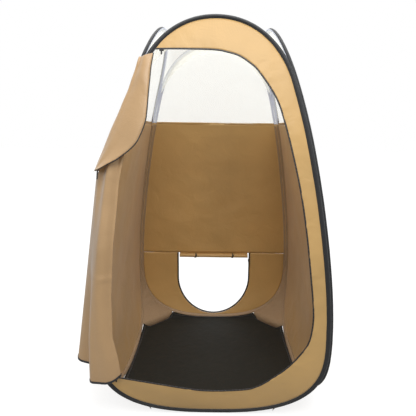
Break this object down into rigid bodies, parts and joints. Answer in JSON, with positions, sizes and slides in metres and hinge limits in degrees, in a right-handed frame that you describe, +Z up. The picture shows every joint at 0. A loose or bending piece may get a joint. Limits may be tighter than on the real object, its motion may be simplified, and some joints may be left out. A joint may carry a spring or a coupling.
{
  "type": "pop-up spray tanning booth",
  "caption": "Free-standing pop-up cabin of sprung hoops and cloth walls with clear upper windows, a zipped doorway and a zipped rear hatch, for spray tanning indoors.",
  "frame": {"origin": "centre of the footprint, on the floor", "axes": "+Z up, the doorway faces -Y, +X to the right seen from the front"},
  "size_m": [1.3899, 1.2721, 2.0974],
  "materials": {
    "wall_cloth": "coated polyester taffeta, satin",
    "binding": "black woven binding",
    "spring_steel": "oiled spring wire",
    "clear_film": "clear PVC film",
    "frosted_film": "doubled film patch",
    "floor_cloth": "black coated oxford cloth",
    "zip_tape": "coil zip on woven tape",
    "zip_metal": "black painted die-cast",
    "webbing": "black narrow webbing",
    "toggle_plastic": "moulded black"
  },
  "bodies": {
    "root": {"back_hoop_binding": "binding", "back_hoop_ferrule": "spring_steel", "back_hoop_wire": "spring_steel", "back_left_gusset": "wall_cloth", "back_right_gusset": "wall_cloth", "back_wall_lower": "wall_cloth", "back_wall_upper": "wall_cloth", "back_window": "clear_film", "door_cloth_gather": "wall_cloth", "door_tie_tab": "webbing", "door_zip_tape": "zip_tape", "floor_edge_tape": "binding", "floor_sheet": "floor_cloth", "front_hoop_binding": "binding", "front_hoop_ferrule": "spring_steel", "front_hoop_wire": "spring_steel", "front_left_gusset": "wall_cloth", "front_right_gusset": "wall_cloth", "front_surround": "wall_cloth", "left_hoop_binding": "binding", "left_hoop_ferrule": "spring_steel", "left_hoop_wire": "spring_steel", "left_wall": "wall_cloth", "left_window": "clear_film", "left_window_patch": "frosted_film", "right_hoop_binding": "binding", "right_hoop_ferrule": "spring_steel", "right_hoop_wire": "spring_steel", "right_wall": "wall_cloth", "right_window": "clear_film", "right_window_patch": "frosted_film", "roof_window": "clear_film", "vent_flap_roll": "wall_cloth", "vent_loop_left": "webbing", "vent_loop_right": "webbing", "vent_zip_tape": "zip_tape"},
    "door_drape": {"door_cloth_drape": "wall_cloth"},
    "door_top_slider": {"door_top_slider": "zip_metal"},
    "door_top_pull": {"door_top_pull": "zip_metal"},
    "door_foot_slider": {"door_foot_slider": "zip_metal"},
    "door_foot_pull": {"door_foot_pull": "zip_metal"},
    "vent_slider": {"vent_slider": "zip_metal"},
    "vent_pull": {"vent_pull": "zip_metal"},
    "vent_toggle_left": {"vent_toggle_left": "toggle_plastic"},
    "vent_toggle_right": {"vent_toggle_right": "toggle_plastic"}
  },
  "joints": [
    {"name": "door_drape_swing", "type": "hinge", "parent": "root", "child": "door_drape", "pos_m": [-0.752, -0.45, 0.278], "axis": [0.1519, 0, 0.9884], "range_deg": [0, 95]},
    {"name": "door_top_slide", "type": "slide", "parent": "root", "child": "door_top_slider", "axis": [1, 0, 0], "range_m": [0, 0.2]},
    {"name": "door_top_pull_swing", "type": "hinge", "parent": "door_top_slider", "child": "door_top_pull", "pos_m": [-0.272, -0.3608, 1.91448], "axis": [0, 0.9518, -0.3067], "range_deg": [-85, 85]},
    {"name": "door_foot_slide", "type": "slide", "parent": "root", "child": "door_foot_slider", "axis": [0.9816, 0.0252, -0.1892], "range_m": [0, 0.2]},
    {"name": "door_foot_pull_swing", "type": "hinge", "parent": "door_foot_slider", "child": "door_foot_pull", "pos_m": [-0.5036, -0.59924, 0.24951], "axis": [0, 0.9934, 0.115], "range_deg": [-85, 85]},
    {"name": "vent_slide", "type": "slide", "parent": "root", "child": "vent_slider", "axis": [0, 0.007, -1], "range_m": [0, 0.06]},
    {"name": "vent_pull_swing", "type": "hinge", "parent": "vent_slider", "child": "vent_pull", "pos_m": [0.2905, 0.60799, 0.478], "axis": [0, 0.9998, 0.0179], "range_deg": [-85, 85]},
    {"name": "vent_toggle_left_turn", "type": "hinge", "parent": "root", "child": "vent_toggle_left", "pos_m": [-0.146, 0.56789, 0.5215], "axis": [0, 1, 0], "range_deg": [-32, 58]},
    {"name": "vent_toggle_right_turn", "type": "hinge", "parent": "root", "child": "vent_toggle_right", "pos_m": [0.155, 0.56789, 0.5215], "axis": [0, 1, 0], "range_deg": [-32, 58]}
  ]
}
